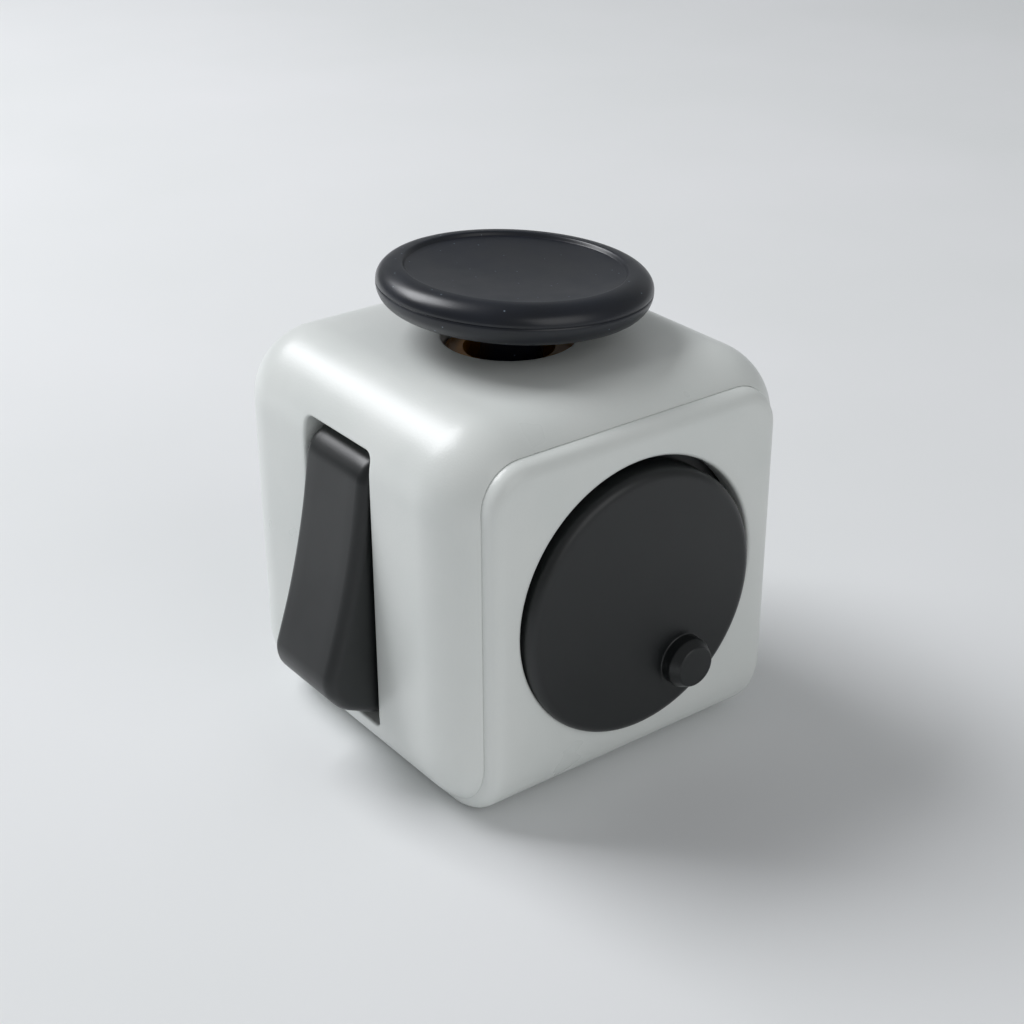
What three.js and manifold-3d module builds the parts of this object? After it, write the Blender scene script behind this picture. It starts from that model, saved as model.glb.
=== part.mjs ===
// Pocket fidget cube: a two-shell white casing with a different toy on each of five faces.
// Millimetres, +Z up. The dial faces -Y, the rocker -X, the joystick +Z, the click buttons +Y,
// the thumb gears and the rolling ball +X. The underside has a shallow thumb dish in a flat rim.

import * as THREE from 'three';
import { RoundedBoxGeometry } from 'three/addons/geometries/RoundedBoxGeometry.js';
import { mergeVertices } from 'three/addons/utils/BufferGeometryUtils.js';
import Module from 'manifold-3d';

const wasm = await Module();
wasm.setup();

// ---------------------------------------------------------------- driving dimensions

const CUBE = 33; // edge length of the casing
const HALF = CUBE / 2;
const EDGE_RADIUS = 6; // rounding of every edge of the cube
const CENTRE_X = 1.45; // moves the whole toy so that its outline is centred on the origin

const BAND_HALF_WIDTH = 14; // lower shell: the band that wraps front, bottom and back
const BAND_TOP = 30.8;
const BAND_CORNER = 3.5;
const BAND_EDGE = 1.2; // rounding of the band's outer edge
const BAND_WALL = 1.8;
const BAND_INNER_BEND = 3.2;
const SEAM = 0.15; // gap between the two shells

const DIAL_CENTRE_Z = 16.2;
const DIAL_RADIUS = 11.1;
const DIAL_HOLE_RADIUS = 11.4;
const DIAL_PROUD = 0.7;
const DIAL_THICKNESS = 2.5;
const NUB_X = 4.05;
const NUB_DROP = 6.3; // how far the nub sits below the dial's centre
const NUB_PROUD = 1.7;

const ROCKER_PIVOT_X = -12.5;
const ROCKER_PIVOT_Z = 16.85;
const ROCKER_TILT = 13.7; // degrees each side of the middle; it rests with its lower end out
const ROCKER_WIDTH = 8.4;
const ROCKER_EDGE = 0.8;
const WINDOW_HALF_WIDTH = 4.5;
const WINDOW_HALF_HEIGHT = 12.05;

const STICK_PIVOT_Z = 27.7;
const STICK_LEAN = 3.6; // degrees towards +X, as the stick rests
const STICK_HOLE_RADIUS = 5.5;
const CAP_RADIUS = 10.9;

const BUTTON_RADIUS = 2.8;
const BUTTON_PITCH = 7; // offset of the four outer buttons from the face's middle
const BUTTON_PROUD = 2.3;

const GEAR_AXLE_X = 13;
const GEAR_AXLE_Z = 22.4;
const GEAR_RADIUS = 4.9;
const GEAR_TEETH = 14;
const GEAR_WIDTH = 2.6;
const GEAR_PITCH = 3.6; // spacing of the gears along the axle

const BALL_RADIUS = 4;
const BALL_X = 13.9;
const BALL_Z = 10;

const DISH_RADIUS = 10;
const DISH_DEPTH = 1.5;

const SCREW_SHANK = 0.7;
const SCREW_HOLE = 1;
const SCREW_HEAD = 1.5;
const SCREW_HEAD_HEIGHT = 1;

// ---------------------------------------------------------------- finishes

function finish(color, roughness, metalness = 0) {
  return new THREE.MeshStandardMaterial({ color, roughness, metalness });
}

const whiteAbs = finish('#e4e6e2', 0.45);
const blackAbs = finish('#1f2326', 0.5);
const amberAcetal = finish('#b07a18', 0.4);
const greyNylon = finish('#8b8f92', 0.6);
const steel = finish('#c3c5c8', 0.25, 1);
const springSteel = finish('#9a9ca0', 0.35, 1);

// ---------------------------------------------------------------- solids

const MERGE_DISTANCE = 1e-3;

// A closed geometry as a solid; collapsed triangles, such as those at a lathe's poles, are dropped.
function solid(geometry) {
  geometry.deleteAttribute('normal');
  geometry.deleteAttribute('uv');
  const merged = mergeVertices(geometry, MERGE_DISTANCE);
  const index = merged.index.array;
  const kept = [];
  for (let i = 0; i < index.length; i += 3) {
    const [a, b, c] = [index[i], index[i + 1], index[i + 2]];
    if (a !== b && b !== c && c !== a) kept.push(a, b, c);
  }
  const vertProperties = new Float32Array(merged.attributes.position.array);
  const triVerts = new Uint32Array(kept);
  return new wasm.Manifold(new wasm.Mesh({ numProp: 3, vertProperties, triVerts }));
}

function geometryOf(manifold) {
  const mesh = manifold.getMesh();
  const geometry = new THREE.BufferGeometry();
  geometry.setAttribute('position', new THREE.BufferAttribute(mesh.vertProperties, 3));
  geometry.setIndex(new THREE.BufferAttribute(mesh.triVerts, 1));
  geometry.computeVertexNormals();
  return geometry;
}

function block([x0, x1], [y0, y1], [z0, z1]) {
  const geometry = new THREE.BoxGeometry(x1 - x0, y1 - y0, z1 - z0);
  geometry.translate((x0 + x1) / 2, (y0 + y1) / 2, (z0 + z1) / 2);
  return solid(geometry);
}

// Rotations that lay the local +Y of a lathe or cylinder along a world direction.
const AIM = {
  '+X': new THREE.Matrix4().makeRotationZ(-Math.PI / 2),
  '-X': new THREE.Matrix4().makeRotationZ(Math.PI / 2),
  '+Y': new THREE.Matrix4(),
  '-Y': new THREE.Matrix4().makeRotationX(Math.PI),
  '+Z': new THREE.Matrix4().makeRotationX(Math.PI / 2),
};

// A turned piece: [radius, height] pairs that start and end on the axis, spun about the direction.
function turned(profile, direction, [x, y, z], sides = 24) {
  const points = profile.map(([radius, height]) => new THREE.Vector2(radius, height));
  const geometry = new THREE.LatheGeometry(points, sides);
  geometry.applyMatrix4(AIM[direction]);
  geometry.translate(x, y, z);
  return solid(geometry);
}

function rod(radius, length, direction, start, sides = 24) {
  return turned([[0, 0], [radius, 0], [radius, length], [0, length]], direction, start, sides);
}

// Frames for outlines: where the outline's own x, y and its depth point in the world.
const ALONG_X = new THREE.Matrix4().makeBasis(
  new THREE.Vector3(0, 1, 0), new THREE.Vector3(0, 0, 1), new THREE.Vector3(1, 0, 0));
const ALONG_Y = new THREE.Matrix4().makeBasis(
  new THREE.Vector3(-1, 0, 0), new THREE.Vector3(0, 0, 1), new THREE.Vector3(0, 1, 0));

// An outline made thick about its own plane, with its edges rounded by edge.
function slab(shape, thickness, frame, edge = 0, curveSegments = 6, edgeSteps = 2) {
  const geometry = new THREE.ExtrudeGeometry(shape, {
    depth: thickness - 2 * edge,
    steps: 1,
    curveSegments,
    bevelEnabled: edge > 0,
    bevelThickness: edge,
    bevelSize: edge,
    bevelOffset: -edge,
    bevelSegments: edgeSteps,
  });
  geometry.translate(0, 0, edge - thickness / 2);
  geometry.applyMatrix4(frame);
  return solid(geometry);
}

function roundedOutline(left, right, bottom, top, radius) {
  const shape = new THREE.Shape();
  shape.moveTo(left + radius, bottom);
  shape.lineTo(right - radius, bottom);
  shape.absarc(right - radius, bottom + radius, radius, -Math.PI / 2, 0);
  shape.lineTo(right, top - radius);
  shape.absarc(right - radius, top - radius, radius, 0, Math.PI / 2);
  shape.lineTo(left + radius, top);
  shape.absarc(left + radius, top - radius, radius, Math.PI / 2, Math.PI);
  shape.lineTo(left, bottom + radius);
  shape.absarc(left + radius, bottom + radius, radius, Math.PI, 1.5 * Math.PI);
  return shape;
}

class Helix extends THREE.Curve {
  constructor(radius, length, turns) {
    super();
    this.radius = radius;
    this.length = length;
    this.turns = turns;
  }

  getPoint(t, target = new THREE.Vector3()) {
    const angle = 2 * Math.PI * this.turns * t;
    return target.set(this.radius * Math.cos(angle), this.length * t, this.radius * Math.sin(angle));
  }
}

function coilSpring(radius, wire, length, turns, direction, [x, y, z]) {
  const section = new THREE.Shape();
  for (let i = 0; i < 4; i += 1) {
    const angle = (2 * Math.PI * i) / 4;
    const [u, v] = [wire * Math.cos(angle), wire * Math.sin(angle)];
    if (i === 0) section.moveTo(u, v);
    else section.lineTo(u, v);
  }
  const geometry = new THREE.ExtrudeGeometry(section, {
    steps: Math.round(turns * 8),
    extrudePath: new Helix(radius, length, turns),
  });
  geometry.applyMatrix4(AIM[direction]);
  geometry.translate(x, y, z);
  return solid(geometry);
}

// A self-tapping screw whose head rests at start and whose shank points in the direction.
function screw(length, direction, start) {
  return turned([
    [0, -SCREW_HEAD_HEIGHT], [SCREW_HEAD, -SCREW_HEAD_HEIGHT], [SCREW_HEAD, 0],
    [SCREW_SHANK, 0], [SCREW_SHANK, length - 0.6], [0, length],
  ], direction, start, 10);
}

// ---------------------------------------------------------------- scene graph

const object = new THREE.Group();
object.position.x = CENTRE_X;

function add(name, manifold, material, parent = object) {
  const mesh = new THREE.Mesh(geometryOf(manifold), material);
  mesh.name = name;
  parent.add(mesh);
}

// ---------------------------------------------------------------- casing

// Places that the screws and holes of several pieces share.
const ROCKER_SCREW_Y = 8.3;
const CRADLE_SCREW_Y = 9;
const SEAT_SCREW_Y = 9.6;
const CARRIER_SCREW_OFFSET = 11.6;
const SWITCH_SCREW_OFFSET = 8.2;
const SIGNS = [-1, 1];

// Inverted U: left wall, top and right wall, with the cube's large roundings.
function upperShell() {
  const cube = solid(new RoundedBoxGeometry(CUBE, CUBE, CUBE, 3, EDGE_RADIUS).translate(0, 0, HALF));
  const inner = BAND_HALF_WIDTH + SEAM;
  const tunnel = slab(
    roundedOutline(-inner, inner, -10, BAND_TOP + SEAM, BAND_CORNER + SEAM), 2 * CUBE, ALONG_Y);
  const core = slab(roundedOutline(-inner, inner, -10, BAND_TOP + SEAM, 1.2), 24, ALONG_Y);
  const window = slab(roundedOutline(
    -WINDOW_HALF_WIDTH, WINDOW_HALF_WIDTH,
    ROCKER_PIVOT_Z - WINDOW_HALF_HEIGHT, ROCKER_PIVOT_Z + WINDOW_HALF_HEIGHT, 0.7), 8, ALONG_X, 0, 3)
    .translate([-HALF, 0, 0]);
  const gearSlot = slab(
    roundedOutline(-5.6, 5.6, GEAR_AXLE_Z - 5.1, GEAR_AXLE_Z + 5.1, 1), 8, ALONG_X, 0, 3)
    .translate([HALF, 0, 0]);
  const ballHole = turned(
    [[0, 0], [4.44, 0], [3.36, 2.5], [3.36, 5], [0, 5]], '+X', [inner - 0.1, 0, BALL_Z], 32);
  let shell = cube.subtract(tunnel).subtract(core).subtract(window).subtract(gearSlot).subtract(ballHole);
  shell = shell.subtract(rod(STICK_HOLE_RADIUS, 6, '+Z', [0, 0, BAND_TOP - 1], 40));
  for (const side of SIGNS) {
    shell = shell
      .subtract(rod(SCREW_HOLE, 2.3, '-X', [-13, side * ROCKER_SCREW_Y, ROCKER_PIVOT_Z], 12))
      .subtract(rod(SCREW_HOLE, 2.6, '+X', [13, side * CRADLE_SCREW_Y, HALF], 12))
      .subtract(rod(SCREW_HOLE, 2.4, '+Z', [0, side * SEAT_SCREW_Y, 30], 12));
  }
  return shell;
}

// The band's outer body, whose upper part has the rounded front outline and whose lower part has
// the two bends; both halves carry the same rounded edge, so they meet cleanly at half height.
function bandBody() {
  const outline = roundedOutline(-BAND_HALF_WIDTH, BAND_HALF_WIDTH, -10, BAND_TOP, BAND_CORNER);
  const side = roundedOutline(-HALF, HALF, 0, 2 * CUBE, EDGE_RADIUS);
  const everything = [-CUBE, CUBE];
  const upper = slab(outline, CUBE, ALONG_Y, BAND_EDGE)
    .intersect(block(everything, everything, [HALF, 2 * CUBE]));
  const lower = slab(side, 2 * BAND_HALF_WIDTH, ALONG_X, BAND_EDGE)
    .intersect(block(everything, everything, [-CUBE, HALF]));
  return upper.add(lower);
}

// U-shaped band: front panel, bottom with the thumb dish, and back panel with the button holes.
function lowerShell() {
  const reach = HALF - BAND_WALL;
  const cavity = slab(
    roundedOutline(-reach, reach, BAND_WALL, 2 * CUBE, BAND_INNER_BEND), 2 * CUBE, ALONG_X);
  const dishSphere = (DISH_RADIUS ** 2 + DISH_DEPTH ** 2) / (2 * DISH_DEPTH);
  const dish = turned(arcProfile(dishSphere, DISH_DEPTH - dishSphere, 0, 22, 5), '+Z', [0, 0, 0], 36);
  const dishFloor = rod(DISH_RADIUS + 1.5, 2, '+Z', [0, 0, 1.2], 32);
  let shell = bandBody().subtract(cavity).add(dishFloor).subtract(dish);
  shell = shell.subtract(rod(DIAL_HOLE_RADIUS, 8, '-Y', [0, -12, DIAL_CENTRE_Z], 48));
  shell = shell.subtract(keyNotch());
  for (const [x, z] of buttonPlaces()) {
    shell = shell.subtract(rod(BUTTON_RADIUS + 0.2, 6, '+Y', [x, 12, z], 24));
  }
  for (const side of SIGNS) {
    const z = HALF + side * SWITCH_SCREW_OFFSET;
    shell = shell.add(rod(1.8, 4.6, '+Y', [0, 10.3, z], 16));
    shell = shell.subtract(rod(SCREW_HOLE, 4.4, '+Y', [0, 10, z], 12));
    shell = shell.subtract(rod(SCREW_HOLE, 2.2, '-Y', [
      side * CARRIER_SCREW_OFFSET, -13.7, DIAL_CENTRE_Z + side * CARRIER_SCREW_OFFSET], 12));
  }
  return shell;
}

// Closed half-profile of a round cap: from the axis out along the arc and back along its base.
function arcProfile(radius, centreHeight, from, to, steps) {
  const profile = [];
  for (let i = steps; i >= 0; i -= 1) {
    const angle = THREE.MathUtils.degToRad(from + ((to - from) * i) / steps);
    profile.push([radius * Math.sin(angle), centreHeight + radius * Math.cos(angle)]);
  }
  return [[0, profile[0][1]], ...profile];
}

// Small square notch in the panel just outside the dial, in line with the nub.
function keyNotch() {
  const along = THREE.MathUtils.radToDeg(Math.atan2(-NUB_DROP, NUB_X));
  return block([DIAL_HOLE_RADIUS - 0.6, DIAL_HOLE_RADIUS + 1], [-20, -12], [-0.5, 0.5])
    .rotate([0, -along, 0])
    .translate([0, 0, DIAL_CENTRE_Z]);
}

// ---------------------------------------------------------------- dial

function addDial() {
  const face = -HALF - DIAL_PROUD;
  const back = face + DIAL_THICKNESS;
  const shaft = 2.5;
  const centre = [0, back, DIAL_CENTRE_Z];
  const disc = turned([
    [0, -4.9], [shaft, -4.9], [shaft, -3.6], [1.9, -3.6], [1.9, -2.8], [shaft, -2.8], [shaft, 0],
    [DIAL_RADIUS, 0], [DIAL_RADIUS, 1.5], [DIAL_RADIUS - 0.15, 2], [DIAL_RADIUS - 0.5, 2.35],
    [DIAL_RADIUS - 1, 2.5], [0, 2.5],
  ], '-Y', centre, 48);
  const nub = turned([
    [0, -0.5], [2.1, -0.5], [2.1, 0.9], [1.7, NUB_PROUD], [0, NUB_PROUD],
  ], '-Y', [NUB_X, face, DIAL_CENTRE_Z - NUB_DROP], 28);
  add('dial', disc.add(nub), blackAbs);

  // C-shaped clip that sits in the shaft's groove behind the carrier.
  const clip = rod(3.6, 0.6, '-Y', [0, back + 3.5, DIAL_CENTRE_Z], 24)
    .subtract(rod(2.1, 2, '-Y', [0, back + 4.2, DIAL_CENTRE_Z], 24))
    .subtract(block([-1, 1], [-16, -8], [DIAL_CENTRE_Z, DIAL_CENTRE_Z + 5]));
  add('dial_clip', clip, springSteel);

  let carrier = slab(roundedOutline(-13.4, 13.4, 3.9, 29.6, 2.6), 2, ALONG_Y)
    .translate([0, -13.3, 0])
    .subtract(rod(shaft + 0.1, 8, '-Y', [0, -10, DIAL_CENTRE_Z], 32));
  for (const side of SIGNS) {
    const place = [side * CARRIER_SCREW_OFFSET, -12.2, DIAL_CENTRE_Z + side * CARRIER_SCREW_OFFSET];
    carrier = carrier.subtract(rod(SCREW_HOLE, 4, '-Y', [place[0], -11, place[2]], 12));
    add(side > 0 ? 'carrier_screw_upper' : 'carrier_screw_lower', screw(3.5, '-Y', place), steel);
  }
  add('dial_carrier', carrier, blackAbs);
}

// ---------------------------------------------------------------- rocker

// Side outline of the rocker: x points out of the face, y along it; the pressing face is hollow.
function rockerOutline() {
  const hollowRadius = 75;
  const tip = 8.47;
  const middle = 6;
  const halfAngle = Math.asin(tip / hollowRadius);
  const shape = new THREE.Shape();
  shape.moveTo(-1.3, -11.6);
  shape.lineTo(1.28, -11.63);
  shape.lineTo(4.31, -11.03);
  shape.lineTo(5.98, -9.69);
  shape.absarc(middle + hollowRadius, 0, hollowRadius, Math.PI + halfAngle, Math.PI - halfAngle, true);
  shape.lineTo(5.98, 9.69);
  shape.lineTo(4.31, 11.03);
  shape.lineTo(1.28, 11.63);
  shape.lineTo(-1.3, 11.6);
  shape.lineTo(-1.3, 2.8);
  shape.lineTo(-3.6, 0.9);
  shape.lineTo(-3.6, -0.9);
  shape.lineTo(-1.3, -2.8);
  return shape;
}

function addRocker() {
  // The outline's x points along -X, its y along +Z.
  const turnedRound = new THREE.Matrix4().makeBasis(
    new THREE.Vector3(-1, 0, 0), new THREE.Vector3(0, 0, 1), new THREE.Vector3(0, 1, 0));
  let rocker = slab(rockerOutline(), ROCKER_WIDTH, turnedRound, ROCKER_EDGE, 5);
  for (const side of SIGNS) {
    const pocket = [side * 6.6 - 3, side * 6.6 + 3];
    rocker = rocker.subtract(block([-4.4, 4], [-3, 3], pocket));
  }
  rocker = rocker.subtract(rod(1, 20, '+Y', [0, -10, 0], 20));
  const pivot = new THREE.Group();
  pivot.position.set(ROCKER_PIVOT_X, 0, ROCKER_PIVOT_Z);
  pivot.rotation.y = THREE.MathUtils.degToRad(ROCKER_TILT);
  object.add(pivot);
  add('rocker', rocker, blackAbs, pivot);

  add('rocker_pin', rod(0.9, 12.2, '+Y', [ROCKER_PIVOT_X, -6.1, ROCKER_PIVOT_Z], 20), steel);

  // Tub behind the window, with a lug each side for a screw into the left wall.
  const [low, high] = [ROCKER_PIVOT_Z - 13.2, ROCKER_PIVOT_Z + 13.2];
  let housing = block([-14, -7.6], [-6.2, 6.2], [low, high])
    .add(block([-14, -12.7], [-10.2, 10.2], [ROCKER_PIVOT_Z - 2, ROCKER_PIVOT_Z + 2]))
    .subtract(block([-20, -8.2], [-4.55, 4.55], [low + 1.1, high - 1.1]))
    .subtract(rod(SCREW_HOLE, 20, '+Y', [ROCKER_PIVOT_X, -10.5, ROCKER_PIVOT_Z], 20));
  for (const side of SIGNS) {
    housing = housing.subtract(
      rod(SCREW_HOLE, 8, '-X', [-10, side * ROCKER_SCREW_Y, ROCKER_PIVOT_Z], 12));
    add(side > 0 ? 'housing_screw_rear' : 'housing_screw_front',
      screw(2.7, '-X', [-12.5, side * ROCKER_SCREW_Y, ROCKER_PIVOT_Z]), steel);
  }
  add('rocker_housing', housing, whiteAbs);

  // Spring-steel leaf on the tub's floor that the rocker's nose snaps across.
  const leaf = block([-8.6, -8.35], [-2, 2], [ROCKER_PIVOT_Z - 7, ROCKER_PIVOT_Z + 7]);
  add('rocker_detent_leaf', leaf, springSteel);
}

// ---------------------------------------------------------------- joystick

// Profile of the cap: neck, conical underside, thick rounded rim and dished top.
// Heights are above the pivot; the widest line lies between the two halves of the rim.
function capProfile() {
  const rimHeight = 9.5;
  const neck = 2.5;
  const bore = 1.5;
  const profile = [
    [0, 4.5], [bore, 4.5], [bore, 2.6], [neck, 2.6], [neck, 6.4], [8.3, 7.4], [9.4, 7.75],
  ];
  for (const degrees of [-55, -25, 0, 25, 50, 80, 120]) {
    const angle = THREE.MathUtils.degToRad(degrees);
    const [across, up] = [CAP_RADIUS - 1.8 + 1.8 * Math.cos(angle), 1.6 * Math.sin(angle)];
    profile.push([across, rimHeight + up]);
  }
  profile.push([7.9, 10.2], [4, 9.8], [0, 9.7]);
  return profile;
}

function addJoystick() {
  // Amber seat: fills the hole in the top wall and flares towards the neck.
  let seat = turned([
    [0, 29.4], [7.3, 29.4], [7.3, 30.7], [5.3, 30.7], [5.3, 31.7], [4.8, 32], [0, 32],
  ], '+Z', [0, 0, 0], 32)
    .add(block([-3, 3], [-11.4, 11.4], [29.4, 30.7]))
    .subtract(turned([[0, 29], [3.4, 29], [3.8, 33], [0, 33]], '+Z', [0, 0, 0], 32));

  // Box-shaped frame under the seat; its side notches carry the gimbal ring.
  let frame = block([-7, 7], [-6.3, 6.3], [20.4, 29.1])
    .add(block([-3, 3], [-11.4, 11.4], [28, 29.1]))
    .subtract(block([-5.9, 5.9], [-5.2, 5.2], [21.6, 35]))
    .subtract(block([-9, 9], [-1, 1], [STICK_PIVOT_Z, 35]))
    .subtract(rod(1, 20, '+X', [-10, 0, STICK_PIVOT_Z], 20));
  for (const side of SIGNS) {
    const hole = rod(SCREW_HOLE, 6, '+Z', [0, side * SEAT_SCREW_Y, 26], 12);
    seat = seat.subtract(hole);
    frame = frame.subtract(hole);
    add(side > 0 ? 'seat_screw_rear' : 'seat_screw_front',
      screw(4.2, '+Z', [0, side * SEAT_SCREW_Y, 27.9]), steel);
  }
  add('joystick_seat', seat, amberAcetal);
  add('gimbal_frame', frame, greyNylon);

  const pivot = new THREE.Group();
  pivot.position.z = STICK_PIVOT_Z;
  object.add(pivot);
  const ring = block([-5.5, 5.5], [-4.7, 4.7], [-0.8, 0.8])
    .subtract(block([-3.7, 3.7], [-3.3, 3.3], [-3, 3]))
    .add(rod(0.9, 1.5, '-X', [-5.4, 0, 0], 16))
    .add(rod(0.9, 1.5, '+X', [5.4, 0, 0], 16))
    .subtract(rod(0.78, 20, '+Y', [0, -10, 0], 16));
  add('gimbal_ring', ring, greyNylon, pivot);
  add('gimbal_pin', rod(0.7, 9.2, '+Y', [0, -4.6, 0], 16), steel, pivot);

  const stick = new THREE.Group();
  stick.rotation.y = THREE.MathUtils.degToRad(STICK_LEAN);
  pivot.add(stick);
  add('joystick_cap', turned(capProfile(), '+Z', [0, 0, 0], 40), blackAbs, stick);
  const stem = turned([
    [0, -4.1], [2.6, -4.1], [2.6, -3.4], [1.2, -3.2], [1.2, -2.4], [2.3, -1.5], [2.7, 0],
    [2.3, 1.5], [1.2, 2.4], [1.2, 4.2], [0, 4.2],
  ], '+Z', [0, 0, 0], 20).subtract(rod(0.82, 10, '+Y', [0, -5, 0], 16));
  add('joystick_stem', stem, steel, stick);
  add('joystick_spring', coilSpring(1.9, 0.22, 1.2, 2.5, '+Z', [0, 0, 21.95]), springSteel);
}

// ---------------------------------------------------------------- click buttons

// One button in the middle of the back and one towards each corner.
function buttonPlaces() {
  const places = [[0, HALF]];
  for (const column of SIGNS) {
    for (const row of SIGNS) {
      places.push([column * BUTTON_PITCH, HALF + row * BUTTON_PITCH]);
    }
  }
  return places;
}

function addButtons() {
  let plate = block([-9.9, 9.9], [9, 10], [6.2, 26.4]);
  buttonPlaces().forEach(([x, z], i) => {
    const top = HALF + BUTTON_PROUD;
    const button = turned([
      [0, 9.4], [1, 9.4], [1, 13.2], [3.5, 13.2], [3.5, 14.4], [BUTTON_RADIUS, 14.4],
      [BUTTON_RADIUS, top - 1.3], [BUTTON_RADIUS - 0.35, top - 0.7], [1.6, top - 0.15], [0, top],
    ], '+Y', [x, 0, z], 18);
    add(`button_${i + 1}`, button, blackAbs);
    add(`button_spring_${i + 1}`, coilSpring(1.7, 0.2, 2.4, 3, '+Y', [x, 10.4, z]), springSteel);
    plate = plate.subtract(rod(1.2, 4, '+Y', [x, 7, z], 16));
  });
  for (const side of SIGNS) {
    const z = HALF + side * SWITCH_SCREW_OFFSET;
    plate = plate.subtract(rod(SCREW_HOLE, 4, '+Y', [0, 7, z], 12));
    add(side > 0 ? 'plate_screw_upper' : 'plate_screw_lower', screw(4.6, '+Y', [0, 8.8, z]), steel);
  }
  add('button_plate', plate, greyNylon);
}

// ---------------------------------------------------------------- gears and ball

function gearOutline() {
  const shape = new THREE.Shape();
  const step = (2 * Math.PI) / GEAR_TEETH;
  const root = GEAR_RADIUS - 0.9;
  for (let i = 0; i < GEAR_TEETH; i += 1) {
    const corners = [[root, -0.34], [GEAR_RADIUS, -0.17], [GEAR_RADIUS, 0.17], [root, 0.34]];
    corners.forEach(([radius, share], k) => {
      const angle = (i + share) * step;
      const [x, y] = [radius * Math.cos(angle), radius * Math.sin(angle)];
      if (i === 0 && k === 0) shape.moveTo(x, y);
      else shape.lineTo(x, y);
    });
  }
  return shape;
}

function addGearsAndBall() {
  const axle = [GEAR_AXLE_X, -7, GEAR_AXLE_Z];
  for (const i of [-1, 0, 1]) {
    const gear = slab(gearOutline(), GEAR_WIDTH, ALONG_Y, 0.3, 1, 1)
      .subtract(rod(1, 10, '+Y', [0, -5, 0], 16))
      .translate([GEAR_AXLE_X, i * GEAR_PITCH, GEAR_AXLE_Z]);
    add(`gear_${i + 2}`, gear, blackAbs);
  }
  add('gear_axle', rod(0.9, 14, '+Y', axle, 16), steel);

  // Cradle: an open box for the gears above a tube for the ball's cup, with a lug each side.
  let cradle = block([7.3, 13.9], [-7.3, 7.3], [16.7, 28.1])
    .add(rod(6.2, 8.3, '+X', [5.6, 0, BALL_Z], 32))
    .add(block([11.8, 13.9], [-7.3, 7.3], [BALL_Z, 17]))
    .add(block([11.8, 13.2], [-10.8, 10.8], [14.4, 18.6]))
    .subtract(block([7.8, 20], [-5.9, 5.9], [17.2, 27.6]))
    .subtract(rod(5.4, 10, '+X', [6.6, 0, BALL_Z], 32))
    .subtract(rod(1.5, 10, '+X', [0, 0, BALL_Z], 16))
    .subtract(rod(0.96, 20, '+Y', [GEAR_AXLE_X, -10, GEAR_AXLE_Z], 16));
  for (const side of SIGNS) {
    cradle = cradle.subtract(rod(SCREW_HOLE, 8, '+X', [8, side * CRADLE_SCREW_Y, HALF], 12));
    add(side > 0 ? 'cradle_screw_rear' : 'cradle_screw_front',
      screw(3.6, '+X', [11.6, side * CRADLE_SCREW_Y, HALF]), steel);
  }
  add('gear_cradle', cradle, greyNylon);

  const place = [BALL_X, 0, BALL_Z];
  add('roller_ball', solid(new THREE.SphereGeometry(BALL_RADIUS, 24, 14)
    .rotateZ(Math.PI / 2).translate(...place)), steel);
  const cup = turned([
    [0, 5.8], [1.2, 5.8], [1.2, 9], [5.2, 9], [5.2, 13.4], [0, 13.4],
  ], '+X', [0, 0, BALL_Z], 24)
    .subtract(solid(new THREE.SphereGeometry(BALL_RADIUS + 0.2, 24, 14)
      .rotateZ(Math.PI / 2).translate(...place)));
  add('ball_cup', cup, blackAbs);
  add('ball_spring', coilSpring(2.2, 0.25, 1.5, 2.5, '+X', [7.05, 0, BALL_Z]), springSteel);
}

add('upper_shell', upperShell(), whiteAbs);
add('lower_shell', lowerShell(), whiteAbs);
addDial();
addRocker();
addJoystick();
addButtons();
addGearsAndBall();

export default object;
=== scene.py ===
# %% [markdown]
# # A pocket fidget cube in white and black plastic
# The real toy is a 33 mm cube of two moulded shells: an inverted U with large round edges, and a
# band that wraps the front, the underside and the back. Each face carries something to play with.
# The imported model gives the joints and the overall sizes; this script gives the pieces fine surfaces
# and real finishes.

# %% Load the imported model
import math

import bmesh
import bpy
import numpy as np
from mathutils import Matrix, Vector


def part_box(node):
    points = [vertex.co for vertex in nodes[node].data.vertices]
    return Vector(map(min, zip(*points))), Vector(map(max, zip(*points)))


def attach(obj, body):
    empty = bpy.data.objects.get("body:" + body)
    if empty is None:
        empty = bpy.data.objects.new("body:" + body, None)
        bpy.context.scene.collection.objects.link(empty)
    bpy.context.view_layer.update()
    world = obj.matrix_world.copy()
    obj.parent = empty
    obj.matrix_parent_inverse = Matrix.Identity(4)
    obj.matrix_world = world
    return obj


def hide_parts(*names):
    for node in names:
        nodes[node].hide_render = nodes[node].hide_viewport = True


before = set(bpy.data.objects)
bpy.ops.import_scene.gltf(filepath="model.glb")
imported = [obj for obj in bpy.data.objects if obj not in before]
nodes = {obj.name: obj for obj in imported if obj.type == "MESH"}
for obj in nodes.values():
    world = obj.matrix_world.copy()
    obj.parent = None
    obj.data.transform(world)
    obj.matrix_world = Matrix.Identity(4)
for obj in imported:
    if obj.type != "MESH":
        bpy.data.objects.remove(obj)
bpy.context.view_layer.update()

MM = 0.001  # shapes are worked out in millimetres and stored in metres
print("CAD nodes:", len(nodes))

# %% [markdown]
# ## Driving sizes
# The shells, and the main size of most other pieces, are measured from the CAD nodes' boxes, so that
# a piece lands where its node is. Finer sizes are named in millimetres where they are used. The
# casing's own middle is the origin of all the shapes below, and one shift puts them into the frame.

# %% Sizes taken from the frame


def box_mm(node):
    """Low and high corner of a CAD node's box, in millimetres."""
    low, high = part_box(node)
    return np.array(low) / MM, np.array(high) / MM


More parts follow.
